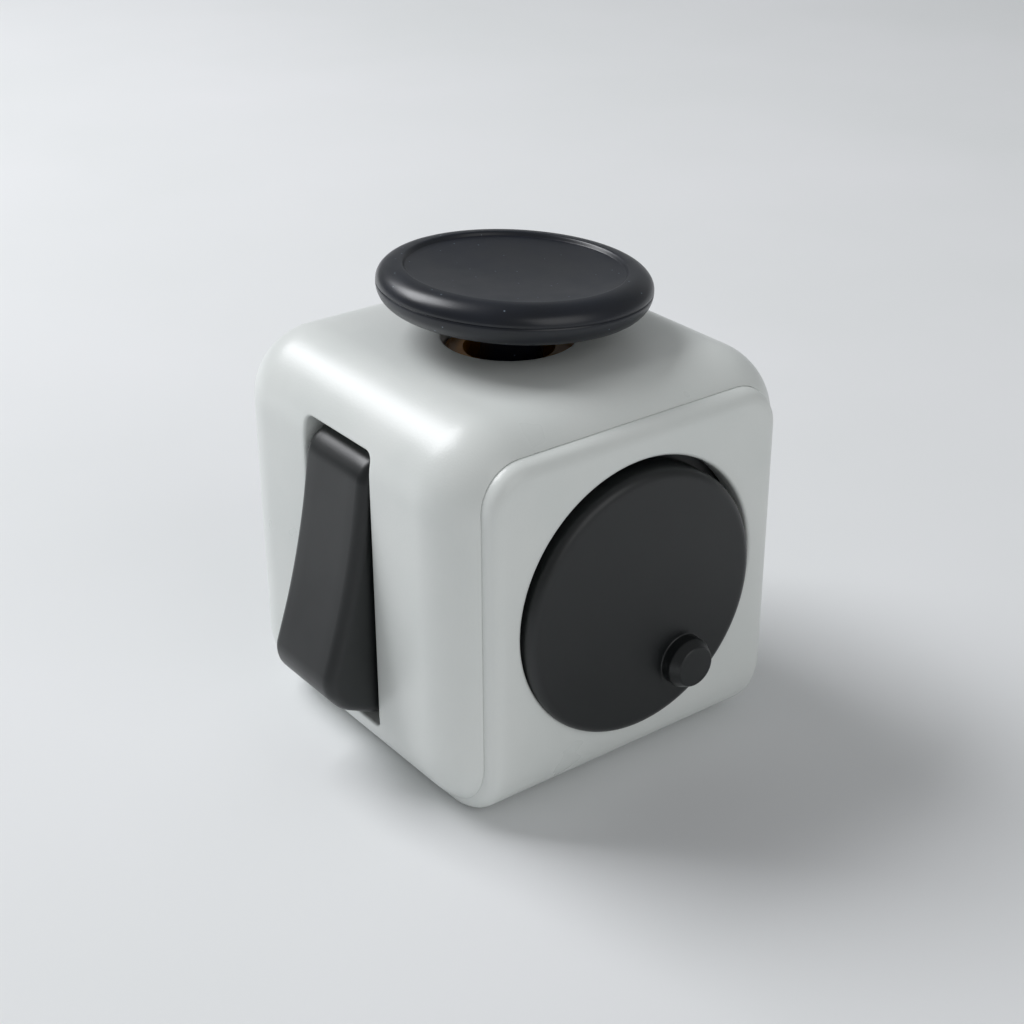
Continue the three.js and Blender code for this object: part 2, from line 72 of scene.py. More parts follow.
shell_low, shell_high = box_mm("upper_shell")
band_low, band_high = box_mm("lower_shell")
CUBE = shell_high[0] - shell_low[0]
HALF = CUBE / 2
CENTRE_X = (shell_low[0] + shell_high[0]) / 2
BAND_HALF = (band_high[0] - band_low[0]) / 2
BAND_TOP = band_high[2]
EDGE = 6.0  # radius of the cube's round edges
FLAT = HALF - EDGE  # half length of the flat part of each face
SEAM = 0.15
BAND_EDGE = 1.2
BAND_CORNER = 3.5
BAND_WALL = 1.8
MIDDLE = HALF  # height of the cube's middle
print("cube", round(CUBE, 2), "band half width", round(BAND_HALF, 2), "centre x", round(CENTRE_X, 3))

# %% [markdown]
# ## From arrays to pieces
# Each surface is a grid of points computed as a whole array. Here the grids of one piece become a
# mesh: doubled points are merged, faces are turned outwards, and edges sharper than a set angle
# stay crisp.

# %% Making a piece from grids of points


def grid_faces(count_u, count_v, first=0):
    """Quads of a count_u by count_v grid of points numbered row by row."""
    index = first + np.arange(count_u * count_v).reshape(count_u, count_v)
    return np.stack([index[:-1, :-1], index[1:, :-1], index[1:, 1:], index[:-1, 1:]], -1).reshape(-1, 4)


def joined(grids):
    """Puts several grids of 3-D points into one list of points and one list of quads."""
    points, quads, count = [], [], 0
    for grid in grids:
        points.append(grid.reshape(-1, grid.shape[-1]))
        quads.append(grid_faces(grid.shape[0], grid.shape[1], count))
        count += len(points[-1])
    return np.concatenate(points), np.concatenate(quads)


def without_doubles(points, quads, step):
    """Points closer than step become one; quads that collapse are dropped, or become triangles."""
    keys = np.round(points / step).astype(np.int64)
    _, first, back = np.unique(keys, axis=0, return_index=True, return_inverse=True)
    quads = back.reshape(-1)[quads]
    same = quads == np.roll(quads, -1, axis=1)
    whole = quads[~same.any(axis=1)]
    short = quads[same.sum(axis=1) == 1]
    triangles = short[~same[same.sum(axis=1) == 1]].reshape(-1, 3)
    return points[first], whole, triangles


def make_piece(name, points, quads, body, replaced, crisp=40):
    """A closed mesh, in millimetres about the casing's middle, as an object that rides on a body."""
    points, whole, triangles = without_doubles(points, quads, 1e-4)
    points = (points + [CENTRE_X, 0, 0]) * MM
    mesh = bpy.data.meshes.new(name)
    mesh.from_pydata(points.tolist(), [], whole.tolist() + triangles.tolist())
    work = bmesh.new()
    work.from_mesh(mesh)
    bmesh.ops.remove_doubles(work, verts=work.verts, dist=2e-7)
    bmesh.ops.dissolve_degenerate(work, edges=work.edges, dist=1e-7)
    bmesh.ops.recalc_face_normals(work, faces=work.faces)
    open_edges = sum(1 for edge in work.edges if len(edge.link_faces) != 2)
    work.to_mesh(mesh)
    work.free()
    mesh.shade_smooth()
    mesh.set_sharp_from_angle(angle=math.radians(crisp))
    piece = bpy.data.objects.new(name, mesh)
    bpy.context.scene.collection.objects.link(piece)
    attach(piece, body)
    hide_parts(replaced)
    print(f"{name}: {len(mesh.polygons)} faces, {open_edges} open edges")
    return piece


# %% [markdown]
# ## A moulded shell from a flat chart
# A shell is drawn on a flat chart first, like a paper pattern: h runs along the U-shaped path of
# the walls and w runs across it. Holes are cut in the chart, the chart is wrapped round the cube
# for the outer skin, and the skin's edges get a small round and a wall that runs inwards to the
# inner skin. Booleans could cut the holes too, but a chart keeps the mesh even, so large round
# edges shine without ripples.

# %% Wrapping the chart round the cube


QUARTER = EDGE * math.pi / 2  # length of one round edge along the path


def wrap(h, depth, curl):
    """Point at path length h, depth below the outer skin, as (across, up).

    The path goes up one wall, over the top and down the other wall: straight stretches of twice FLAT,
    joined by quarter circles of radius EDGE. With curl its two ends bend inwards as well; without,
    they run on straight."""
    straight = 2 * FLAT
    start = np.clip(h, -EDGE, 0)
    end = np.clip(h - (3 * straight + 2 * QUARTER), 0, EDGE)
    turned = np.clip(h - straight, 0, QUARTER) + np.clip(h - 2 * straight - QUARTER, 0, QUARTER)
    across = -FLAT + np.clip(h - straight - QUARTER, 0, straight)
    up = np.clip(h, 0, straight) - np.clip(h - 2 * straight - 2 * QUARTER, 0, straight) + EDGE
    if curl:
        turned = turned + start + end
    else:
        up = up + start - end
    angle = math.pi - turned / EDGE
    reach = EDGE - depth
    return across + reach * np.cos(angle), up + reach * np.sin(angle), angle


def rectangle_loop(h_nodes, w_nodes):
    """Closed loop of chart points round a rectangle, from its low corner along h first."""
    sides = [
        np.stack([h_nodes, np.full_like(h_nodes, w_nodes[0])], -1)[:-1],
        np.stack([np.full_like(w_nodes, h_nodes[-1]), w_nodes], -1)[:-1],
        np.stack([h_nodes[::-1], np.full_like(h_nodes, w_nodes[-1])], -1)[:-1],
        np.stack([np.full_like(w_nodes, h_nodes[0]), w_nodes[::-1]], -1),
    ]
    return np.concatenate(sides)


def hole_loop(centre, half, radius, count_h, count_w, corner):
    """Rounded-rectangle outline with as many points per side as a rectangle loop.

    Each side spends corner steps on half of the arc at either end and the rest on its straight part;
    where the radius equals half the width and corner is half the count, the outline is a circle."""
    turns = np.linspace(0, math.pi / 4, corner + 1)

    def side(count, length):
        """Half an arc, a straight run and half an arc: distances along the side and from its middle."""
        arc_x = -(length - radius) - radius * np.sin(turns[::-1])
        arc_y = -radius * np.cos(turns[::-1])
        run = np.linspace(-(length - radius), length - radius, count - 2 * corner + 1)[1:-1]
        across = np.concatenate([arc_x, run, -arc_x[::-1]]) if count > 2 * corner else np.concatenate(
            [arc_x, -arc_x[::-1][1:]])
        down = np.concatenate([arc_y, np.full_like(run, -radius), arc_y[::-1]]) if count > 2 * corner else (
            np.concatenate([arc_y, arc_y[::-1][1:]]))
        return across[:-1], down[:-1]

    half_h, half_w = half
    a, b = side(count_h, half_h)
    c, d = side(count_w, half_w)
    low = np.stack([a, b - (half_w - radius)], -1)
    right = np.stack([-d + (half_h - radius), c], -1)
    loop = np.concatenate([low, right, -low, -right])
    return np.concatenate([loop, loop[:1]]) + centre


def ring_patch(inner_loop, outer_loop, steps):
    """Rings that change evenly from one closed loop into another."""
    share = np.asarray(steps)[:, None, None]
    return inner_loop + (outer_loop - inner_loop) * share


def plain_patch(h_nodes, w_nodes):
    """Rectangle of the chart, as a grid over the given h and w values."""
    return np.stack(np.meshgrid(h_nodes, w_nodes, indexing="ij"), -1)


def shell_mesh(patches, outer, inner, rim):
    """Closed shell from chart patches: outer skin, inner skin and the rims between them.

    outer(chart) and inner(chart) wrap chart points; rim(chart, points) gives for each edge point the
    direction in which the skin would run on, the direction of the rim's wall, the size of the round
    and the wall's depth."""
    chart, quads = joined(patches)
    chart, whole, triangles = without_doubles(chart, quads, 1e-5)
    quads = np.concatenate([whole, np.c_[triangles, triangles[:, 2]]])
    skin = outer(chart)
    sides = np.concatenate([quads[:, [k, (k + 1) % 4]] for k in range(4)])
    sides = sides[sides[:, 0] != sides[:, 1]]
    key = np.sort(sides, axis=1)
    _, back, count = np.unique(key, axis=0, return_inverse=True, return_counts=True)
    edges = sides[count[back.reshape(-1)] == 1]
    rim_points = np.unique(edges)
    onward, inward, round_size, depth = rim(chart[rim_points], skin[rim_points])
    turn = np.linspace(0, math.pi / 2, 5)[1:, None, None]
    rows = [skin[rim_points] + round_size * (onward * s + inward * c)
            for s, c in zip(np.sin(turn), 1 - np.cos(turn))]
    rows.append(skin[rim_points] + round_size * onward + depth * inward)
    lining = inner(chart)
    lining[rim_points] = rows[-1]
    place = np.zeros(len(chart), int)
    place[rim_points] = np.arange(len(rim_points))
    count = len(chart)
    levels = [edges] + [count * 2 + k * len(rim_points) + place[edges] for k in range(len(rows) - 1)]
    levels.append(edges + count)
    rims = [np.stack([a[:, 0], a[:, 1], b[:, 1], b[:, 0]], -1) for a, b in zip(levels[:-1], levels[1:])]
    points = np.concatenate([skin, lining] + rows[:-1])
    return points, np.concatenate([quads, quads[:, ::-1] + count] + rims)


def unit(vectors):
    """Each vector divided by its own length."""
    return vectors / np.maximum(np.linalg.norm(vectors, axis=-1, keepdims=True), 1e-9)


def outline_normal(offset, half, radius):
    """Direction away from a rounded rectangle at a point on its outline."""
    corner = np.sign(offset) * np.clip(np.abs(offset) - (np.asarray(half) - radius), 0, None)
    return unit(corner)


print("one round edge is", round(QUARTER, 2), "mm long")

# %% [markdown]
# ## Upper shell: an inverted U with large round edges
# The real shell is injection moulded and its edges are pulled round with a 6 mm radius, corners
# included. On the chart its four sides are the seams, and its holes are the rocker's window, the
# joystick's hole, the gears' window and the ball's collar. Points past the flat part wrap over the
# round edge up to the seam.

# %% Upper shell
SIDE_REACH = BAND_HALF + SEAM - FLAT  # seam's distance from the round edge's centre, on the walls
TOP_REACH = BAND_TOP + SEAM - (CUBE - EDGE)  # and on the top
PATH = 6 * FLAT + 2 * QUARTER  # length of the path without its curled ends
TOP_START = 2 * FLAT + QUARTER
RIGHT_START = 4 * FLAT + 2 * QUARTER
CURL = EDGE * math.acos(SIDE_REACH / EDGE)
RIM_DEPTH = 2.0
SEAM_ROUND = 0.2
NEAR_HOLE = 0.8  # how near a hole's outline a rim point has to be to belong to it


def seam_reach(angle):
    """Distance of the seam from the edge's centre: a circle whose middle is slightly raised under the top."""
    rise = np.clip(np.sin(angle), 0, 1)
    lift = TOP_REACH - SIDE_REACH
    return lift * rise + np.sqrt(SIDE_REACH**2 - lift**2 * (1 - rise**2))


def shell_angles(chart):
    """Path angle, and the angle by which a point has turned round the cube's front or back edge."""
    h, w = chart[:, 0], chart[:, 1]
    angle = wrap(h, 0, True)[2]
    past_end = np.clip(angle - math.pi, 0, None) + np.clip(-angle, 0, None)
    most = np.arccos(np.clip(seam_reach(angle) / EDGE / np.cos(past_end), -1, 1))
    return angle, np.clip(np.abs(w) - FLAT, 0, 1) * most


def upper_outer(chart):
    """Outer skin: the path's point, drawn in and moved along y by the turn round the front or back edge."""
    h, w = chart[:, 0], chart[:, 1]
    _, bend = shell_angles(chart)
    across, up, _ = wrap(h, EDGE * (1 - np.cos(bend)), True)
    depth_y = np.sign(w) * (np.minimum(np.abs(w), FLAT) + EDGE * np.sin(bend))
    return np.stack([across, depth_y, up], -1)


def upper_inner(chart):
    """Straight walls and a flat ceiling, as far inside the skin as the seam's wall reaches."""
    h, w = chart[:, 0], chart[:, 1]
    squeezed = np.where(h < 0, h / 2, np.where(h > PATH, PATH + (h - PATH) / 2, h))
    angle = wrap(squeezed, 0, False)[2]
    across, up, _ = wrap(squeezed, EDGE - seam_reach(angle), False)
    reach = FLAT + (HALF - EDGE * (1 - math.sin(math.acos(SIDE_REACH / EDGE))) - FLAT - RIM_DEPTH)
    over = np.clip(np.abs(w) - FLAT, 0, 1)
    depth_y = np.sign(w) * (np.minimum(np.abs(w), FLAT) + over * (reach - FLAT))
    return np.stack([across, depth_y, up], -1)


# %% Holes of the upper shell
window_low, window_high = 4.8, 28.9
window_start = -EDGE * math.asin((EDGE - window_low) / EDGE)
window_end = 2 * FLAT + EDGE * math.asin((window_high - CUBE + EDGE) / EDGE)
gear_z = (box_mm("gear_2")[0][2] + box_mm("gear_2")[1][2]) / 2
ball_z = (box_mm("roller_ball")[0][2] + box_mm("roller_ball")[1][2]) / 2
# name: chart centre, half lengths along h and w, corner radius, corner steps, outward side, round, flare
upper_holes = {
    "rocker": ((window_start + window_end) / 2, (window_end - window_start) / 2, 4.5, 0.7, 4,
               (-1, 0, 0), 0.25, 0),
    "joystick": (TOP_START + FLAT, 5.42, 5.42, 5.42, 14, (0, 0, 1), 0.18, 0),
    "gears": (RIGHT_START + CUBE - EDGE - gear_z, 5.1, 5.6, 1.0, 4, (1, 0, 0), 0.3, 0),
    "ball": (RIGHT_START + CUBE - EDGE - ball_z, 3.4, 3.4, 3.4, 14, (1, 0, 0), 0.3, 0.45),
}


# %% Rims of the upper shell


def upper_rim(chart, points):
    """Rims: a seam's rim runs into the shell along its wall, a hole's runs straight through."""
    angle, bend = shell_angles(chart)
    normal = np.stack([np.cos(angle) * np.cos(bend), np.sin(bend) * np.sign(chart[:, 1]),
                       np.sin(angle) * np.cos(bend)], -1)
    held = np.clip(angle, 0, math.pi)
    wall = np.stack([np.cos(held), 0 * held, np.sin(held)], -1)
    lean = (wall * normal).sum(-1, keepdims=True)
    onward, inward = unit(lean * normal - wall), unit(lean * wall - normal)
    size = np.full((len(chart), 1), SEAM_ROUND)
    depth = np.full((len(chart), 1), RIM_DEPTH)
    along = np.stack([np.sin(angle), 0 * angle, -np.cos(angle)], -1)
    for centre, half_h, half_w, radius, _, out, round_size, flare in upper_holes.values():
        offset = chart - [centre, 0]
        inside = (np.abs(offset) < np.array([half_h, half_w]) + NEAR_HOLE).all(axis=1)
        away = outline_normal(offset, np.array([half_h, half_w]) + round_size, radius + round_size)
        sideways = away[:, :1] * along + away[:, 1:] * [0, 1, 0]
        straight = -np.array(out) + flare * sideways
        onward = np.where(inside[:, None], -sideways, onward)
        inward = np.where(inside[:, None], straight, inward)
        wall_inside = (BAND_TOP if out[2] else BAND_HALF) + SEAM
        depth = np.where(inside[:, None], points @ np.array(out)[:, None] - wall_inside, depth)
        size = np.where(inside[:, None], round_size, size)
    return onward, inward, size, depth


# %% Patches of the upper shell
RECT_W = 8.4
w_middle = np.linspace(-RECT_W, RECT_W, 29)
w_side = np.concatenate([np.linspace(RECT_W, FLAT, 5)[:-1], FLAT + np.linspace(0, 1, 15)])
curled = np.linspace(0, 1, 10) ** 2
stops = [
    (-CURL + (CURL - 3.4) * curled, None),
    (np.linspace(-3.4, 25.2, 57), "rocker"),
    (np.linspace(25.2, 32.5, 16), None),
    (np.linspace(32.5, 2 * (TOP_START + FLAT) - 32.5, 29), "joystick"),
    (np.linspace(2 * (TOP_START + FLAT) - 32.5, 59, 20), None),
    (np.linspace(59, 71.9, 29), "gears"),
    (np.linspace(71.9, 83.8, 29), "ball"),
    ((PATH + CURL) - (PATH + CURL - 83.8) * curled[::-1], None),
]
RING_STEPS = [0, 0.1, 0.25, 0.45, 0.7, 1]


def shell_patches(zones, holes, w_nodes):
    """Middle strip of a chart: plain where there is no hole, rings round each hole otherwise."""
    patches = []
    for h_nodes, hole in zones:
        if hole is None:
            patches.append(plain_patch(h_nodes, w_nodes))
            continue
        centre, half_h, half_w, radius, corner, _, round_size, _ = holes[hole]
        outer = rectangle_loop(h_nodes, w_nodes)
        half = (half_h + round_size, half_w + round_size)
        inner = hole_loop([centre, 0], half, radius + round_size, len(h_nodes) - 1, len(w_nodes) - 1, corner)
        patches.append(ring_patch(inner, outer, RING_STEPS))
    return patches


h_all = np.unique(np.concatenate([h_nodes for h_nodes, _ in stops]).round(6))
stops = [(h_nodes.round(6), hole) for h_nodes, hole in stops]
upper_patches = shell_patches(stops, upper_holes, w_middle)
upper_patches += [plain_patch(h_all, w_side), plain_patch(h_all, -w_side)]
upper = make_piece("white_upper_shell", *shell_mesh(upper_patches, upper_outer, upper_inner, upper_rim),
                   "casing", "upper_shell", crisp=50)

# %% [markdown]
# ## Lower shell: a band with a raised front panel
# The band stands about a millimetre proud of the upper shell and has a softly rounded outer edge.
# Its chart uses the same path turned upside down. The front has the dial's round opening with a
# small square notch, the back has five button holes, and the underside sinks into a shallow dish
# for the thumb.

# %% Lower shell
INSET = BAND_HALF - BAND_EDGE  # half width of the band inside its rounded edge
INSET_CORNER = BAND_CORNER - BAND_EDGE
CORNER_CENTRE = BAND_TOP - BAND_CORNER  # height of the top corners' centres
PANEL_END = BAND_TOP - BAND_EDGE - (CUBE - EDGE)
DISH_RADIUS, DISH_DEPTH = 10.0, 1.5
DISH_FADE = 0.4
DISH_EDGE = DISH_RADIUS + DISH_FADE  # outline of the dish's patch, where it has become flat
DISH_EASE = 0.12
DISH_WALL = 1.3  # extra thickness above the dish
DIAL_HOLE = 11.35
DIAL_LIP = 0.3
BUTTON_HOLE = 3.0
BUTTON_PITCH = 7.0
BOTTOM_MIDDLE = TOP_START + FLAT
DIAL_Z = 16.2
# Known fault: the chart runs downwards here, so the opening's centre lands at 16.8 mm, 0.6 mm above
# the dial's. It should be at CUBE - EDGE - DIAL_Z along the chart.
dial_place = (DIAL_Z - EDGE, 0.0)


def band_across(chart):
    """Width position on the band: drawn in along a circle at the two ends, where the corners are rounded."""
    h, w = chart[:, 0], chart[:, 1]
    past = np.maximum(-h, h - PATH) - (CORNER_CENTRE - (CUBE - EDGE))
    room = np.sqrt(INSET_CORNER**2 - np.clip(past, 0, INSET_CORNER) ** 2)
    over = np.clip(np.abs(w) - (INSET - INSET_CORNER), 0, None)
    return np.sign(w) * (np.minimum(np.abs(w), INSET - INSET_CORNER) + over * room / INSET_CORNER)


def dish(distance):
    """Depth of the thumb dish: a shallow sphere, eased into the flat rim over about a millimetre."""
    ball = (DISH_RADIUS**2 + DISH_DEPTH**2) / (2 * DISH_DEPTH)
    bowl = np.sqrt(ball**2 - np.minimum(distance, 15) ** 2) - (ball - DISH_DEPTH)
    return (bowl + np.sqrt(bowl**2 + DISH_EASE**2)) / 2


def band_outer(chart):
    """Outer skin: the path turned upside down, with the dish's depth added under the cube."""
    across, up, _ = wrap(chart[:, 0], 0, False)
    width = band_across(chart)
    distance = np.hypot(chart[:, 0] - BOTTOM_MIDDLE, width)
    fade = np.clip((DISH_EDGE - distance) / DISH_FADE, 0, 1)
    sunk = np.where(distance < DISH_EDGE + 0.01, dish(distance) * fade, 0)
    return np.stack([width, across, CUBE - up + sunk], -1)


def band_inner(chart):
    """Inner skin: one wall thickness inside the path, and thicker above the dish."""
    across, up, _ = wrap(chart[:, 0], BAND_WALL, False)
    distance = np.hypot(chart[:, 0] - BOTTOM_MIDDLE, chart[:, 1])
    thick = np.where(distance < DISH_RADIUS + 1.5, DISH_WALL, 0)
    return np.stack([band_across(chart), across, CUBE - up + thick], -1)


# %% Holes and rims of the lower shell
# name: chart centre, hole radius, outward side, round
band_holes = {"dial": (dial_place, DIAL_HOLE, (0, -1, 0), DIAL_LIP)}
back_middle = RIGHT_START + FLAT
button_offsets = [(0, 0)] + [(a * BUTTON_PITCH, b * BUTTON_PITCH) for a in (-1, 1) for b in (-1, 1)]
for number, (up_offset, side_offset) in enumerate(button_offsets, 1):
    band_holes[f"button_{number}"] = ((back_middle + up_offset, side_offset), BUTTON_HOLE, (0, 1, 0), 0.25)


def band_rim(chart, points):
    """Rims: the band's outer edge turns over by its rounding, a hole's runs straight through."""
    _, _, angle = wrap(chart[:, 0], 0, False)
    normal = np.stack([0 * angle, np.cos(angle), -np.sin(angle)], -1)
    past = np.maximum(points[:, 2] - CORNER_CENTRE, 0)
    side = np.clip(np.abs(points[:, 0]) - (INSET - INSET_CORNER), 0, None)
    side = np.where(past > 0, side, 1)
    onward = unit(np.stack([side * np.sign(points[:, 0]), 0 * side, past], -1))
    inward = -normal
    size = np.full((len(chart), 1), BAND_EDGE)
    depth = np.full((len(chart), 1), BAND_WALL)
    along = np.stack([0 * angle, np.sin(angle), np.cos(angle)], -1)
    for centre, radius, out, round_size in band_holes.values():
        offset = chart - centre
        inside = np.hypot(*offset.T) < radius + 1.6
        inside &= np.abs(chart[:, 1]) < INSET - 0.2
        inside &= chart[:, 0] > -PANEL_END + 0.05
        away = unit(offset)
        sideways = away[:, :1] * along + away[:, 1:] * [1, 0, 0]
        onward = np.where(inside[:, None], -sideways, onward)
        inward = np.where(inside[:, None], -np.array(out), inward)
        depth = np.where(inside[:, None], points @ np.array(out)[:, None] - (HALF - BAND_WALL), depth)
        size = np.where(inside[:, None], round_size, size)
    return onward, inward, size, depth


# %% Patches of the lower shell
w_core = np.linspace(-FLAT, FLAT, 37)
w_edge = np.linspace(FLAT, INSET, 5)
w_whole = np.concatenate([-w_edge[:0:-1], w_core, w_edge[1:]])


def round_hole(hole, h_nodes, w_nodes):
    """Circle of a hole and its round, with as many points as the rectangle of the given nodes."""
    centre, radius, _, round_size = band_holes[hole]
    big = radius + round_size
    corner = (len(h_nodes) - 1) // 2
    return hole_loop(centre, (big, big), big, len(h_nodes) - 1, len(w_nodes) - 1, corner)


# The dial's opening, with the notch pushed out of its outline in line with the nub.
NUB_X, NUB_DROP, NUB_PROUD = 4.05, 6.3, 1.7
corner_steps = np.sin(np.linspace(0, math.pi / 2, 10))
corner_run = CORNER_CENTRE - (CUBE - EDGE) + INSET_CORNER * corner_steps
dial_h = np.concatenate([-corner_run[:0:-1], np.linspace(-corner_run[0], 2 * FLAT + 4, 36)])
dial_loop = round_hole("dial", dial_h, w_whole)
polar = np.arctan2(dial_loop[:, 1] - dial_place[1], dial_loop[:, 0] - dial_place[0])
notch_angle = math.atan2(NUB_X, NUB_DROP)
nearest = int(np.argmin(np.abs(polar - notch_angle)))
NOTCH_WIDTH, NOTCH_DEPTH = 1.0, 0.9
notch_half = NOTCH_WIDTH / 2 / DIAL_HOLE
notch_steps = np.array([-1.15, -0.85, 0, 0.85, 1.15])
loop_sense = np.sign(polar[nearest + 1] - polar[nearest])
turns = notch_angle + notch_half * notch_steps * loop_sense
reach = DIAL_HOLE + DIAL_LIP + NOTCH_DEPTH * np.array([0, 1, 1, 1, 0])
dial_loop[nearest - 2:nearest + 3] = np.stack([reach * np.cos(turns), reach * np.sin(turns)], -1) + dial_place

front_bend = np.linspace(dial_h[-1], TOP_START, 13)
bottom_h = np.linspace(TOP_START, TOP_START + 2 * FLAT, 37)
back_bend = np.linspace(TOP_START + 2 * FLAT, RIGHT_START, 19)
back_h = np.linspace(RIGHT_START, RIGHT_START + 2 * FLAT, 37)
back_end = np.concatenate([[PATH], PATH + corner_run])
dish_loop = hole_loop((BOTTOM_MIDDLE, 0), (DISH_EDGE, DISH_EDGE), DISH_EDGE, 36, 36, 18)
band_patches = [
    ring_patch(dial_loop, rectangle_loop(dial_h, w_whole), [0, 0.12, 0.3, 0.55, 0.8, 1]),
    plain_patch(front_bend, w_whole),
    ring_patch(dish_loop, rectangle_loop(bottom_h, w_core), [0, 0.5, 1]),
    ring_patch(np.broadcast_to([BOTTOM_MIDDLE, 0.0], dish_loop.shape), dish_loop, np.linspace(0, 1, 25)),
    plain_patch(bottom_h, w_edge), plain_patch(bottom_h, -w_edge),
    plain_patch(back_bend, w_whole),
    plain_patch(back_h, w_edge), plain_patch(back_h, -w_edge),
    plain_patch(back_end, w_whole),
]
for row in range(3):
    for column in range(3):
        h_nodes = back_h[12 * row:12 * row + 13]
        w_nodes = w_core[12 * column:12 * column + 13]
        middle = (h_nodes[6], w_nodes[6])
        match = [name for name, hole in band_holes.items()
                 if name != "dial" and np.allclose(hole[0], middle, atol=0.01)]
        if match:
            outer = rectangle_loop(h_nodes, w_nodes)
            band_patches.append(ring_patch(round_hole(match[0], h_nodes, w_nodes), outer, [0, 0.3, 0.65, 1]))
        else:
            band_patches.append(plain_patch(h_nodes, w_nodes))
band = make_piece("white_lower_shell", *shell_mesh(band_patches, band_outer, band_inner, band_rim),
                  "casing", "lower_shell", crisp=50)

# %% [markdown]
# ## Turned shapes and soft corners
# Most of the moving pieces are turned or carried along a line. Their sections are short lists of
# corners, each with its own radius, because a moulded edge is never sharp. One function rounds the
# corners, another spins or carries the section.

# %% Rounding and spinning a section


def softened(corners, steps=7):
    """Polyline of (a, b, radius) corners: each inner corner becomes an arc that touches both its sides."""
    corners = np.asarray(corners, float)
    share = np.linspace(0, 1, steps + 1)[:, None]
    parts = [corners[:1, :2]]
    for before, (a, b, radius), after in zip(corners[:-2, :2], corners[1:-1], corners[2:, :2]):
        here = np.array([a, b])
        one, two = unit(before - here), unit(after - here)
        half = math.acos(float(np.clip(one @ two, -1, 1))) / 2
        if radius == 0 or half > 1.56:
            parts.append(here[None])
            continue
        centre = here + unit(one + two) * radius / math.sin(half)
        start = here + one * radius / math.tan(half) - centre
        end = here + two * radius / math.tan(half) - centre
        sweep = math.pi - 2 * half
        mixed = np.sin((1 - share) * sweep) * start + np.sin(share * sweep) * end
        parts.append(centre + mixed / math.sin(sweep))
    return np.concatenate(parts + [corners[-1:, :2]])


def spun(section, count=96):
    """Grid of rings round the third axis from a section of (radius, height) points."""
    turn = np.linspace(0, 2 * math.pi, count + 1)
    radius, height = section[:, :1], section[:, 1:]
    return np.stack([radius * np.cos(turn), radius * np.sin(turn), height + 0 * turn], -1)


def placed(grid, centre, first, second, third):
    """Turns a grid so that its own axes lie along three given directions, and moves it."""
    return grid @ np.array([first, second, third], float) + np.asarray(centre, float)


def middle_mm(node):
    """Middle of a CAD node's box, about the casing's own centre."""
    low, high = box_mm(node)
    return (low + high) / 2 - [CENTRE_X, 0, 0]


print("a softened square corner has", len(softened([(0, 0, 0), (1, 0, 0.2), (1, 1, 0)])), "points")

# %% [markdown]
# ## Dial: a thin disc with an off-centre nub
# The dial and its nub are one moulding. One set of closed rings starts at the middle of the nub's
# top, runs down the nub, spreads over the disc's face while its centre slides from the nub to the
# disc, then turns over the edge and down the shaft. A separate cylinder pushed into the disc would
# leave a hard line at the nub's foot.

# %% Dial
DIAL_FACE = box_mm("dial")[0][1] + NUB_PROUD
DIAL_RADIUS = (box_mm("dial")[1][2] - box_mm("dial")[0][2]) / 2
dial_z = DIAL_Z
nub_section = softened([
    (0, NUB_PROUD, 0), (1.68, NUB_PROUD, 0.2), (2.1, 0.9, 0.35), (2.1, 0, 0.12), (2.28, 0, 0)])
disc_section = softened([
    (DIAL_RADIUS - 1.1, 0, 0), (DIAL_RADIUS, 0, 0.8), (DIAL_RADIUS, -2.5, 0.25), (2.5, -2.5, 0.3),
    (2.5, -5.3, 0.05), (1.9, -5.3, 0.05), (1.9, -6.1, 0.05), (2.5, -6.1, 0.05), (2.5, -7.4, 0.4),
    (0, -7.4, 0)])
slide = np.linspace(0, 1, 12)[1:-1, None]
face_rings = nub_section[-1] + slide * (disc_section[0] - nub_section[-1])
dial_section = np.concatenate([nub_section, face_rings, disc_section])
off_centre = np.concatenate([np.ones((len(nub_section), 1)), 1 - slide, np.zeros((len(disc_section), 1))])
dial_grid = spun(dial_section, 128)
dial_grid[:, :, 0] += off_centre * NUB_X
dial_grid[:, :, 1] -= off_centre * NUB_DROP
dial_grid = placed(dial_grid, (0, DIAL_FACE, dial_z), (1, 0, 0), (0, 0, 1), (0, -1, 0))
dial = make_piece("black_dial_with_nub", *joined([dial_grid]), "dial", "dial", crisp=50)

# %% [markdown]
# ## Rocker: a concave paddle
# Seen from the side the rocker is a shallow hollow between two round ends, with a small keel inside
# that snaps over the detent leaf. The outline is carried across the width and drawn in by a fillet
# at both side edges. The pin's hole closes the surface into one loop, from the hole over the
# outline and back into the hole.

# %% Rocker
PIVOT = middle_mm("rocker_pin")
ROCKER_TILT = math.radians(13.7)
ROCKER_HALF = (box_mm("rocker")[1][1] - box_mm("rocker")[0][1]) / 2
HOLLOW_RADIUS, HOLLOW_MIDDLE, TIP = 75.0, 6.0, 8.47
spread = np.linspace(-1, 1, 33)[1:-1] * math.asin(TIP / HOLLOW_RADIUS)
hollow = np.stack([HOLLOW_MIDDLE + HOLLOW_RADIUS * (1 - np.cos(spread)), HOLLOW_RADIUS * np.sin(spread)], -1)
lower_end = [(-3.6, 0, 0), (-3.6, -0.9, 0.6), (-1.3, -2.8, 0.6), (-1.3, -11.6, 0.7), (1.28, -11.63, 4),
             (4.31, -11.03, 3.2), (5.98, -9.69, 2.4), (6.48, -8.47, 2.2), tuple(hollow[6]) + (0,)]
half_outline = softened(lower_end, 9)
straights = np.linalg.norm(np.diff(half_outline, axis=0), axis=1)
extra = np.repeat(np.arange(len(straights)), np.maximum(1, np.ceil(straights / 0.8)).astype(int))
steps_in = np.arange(len(extra)) - np.searchsorted(extra, extra)
pieces_in = np.bincount(extra)[extra]
along_straight = (steps_in / pieces_in)[:, None] * np.diff(half_outline, axis=0)[extra]
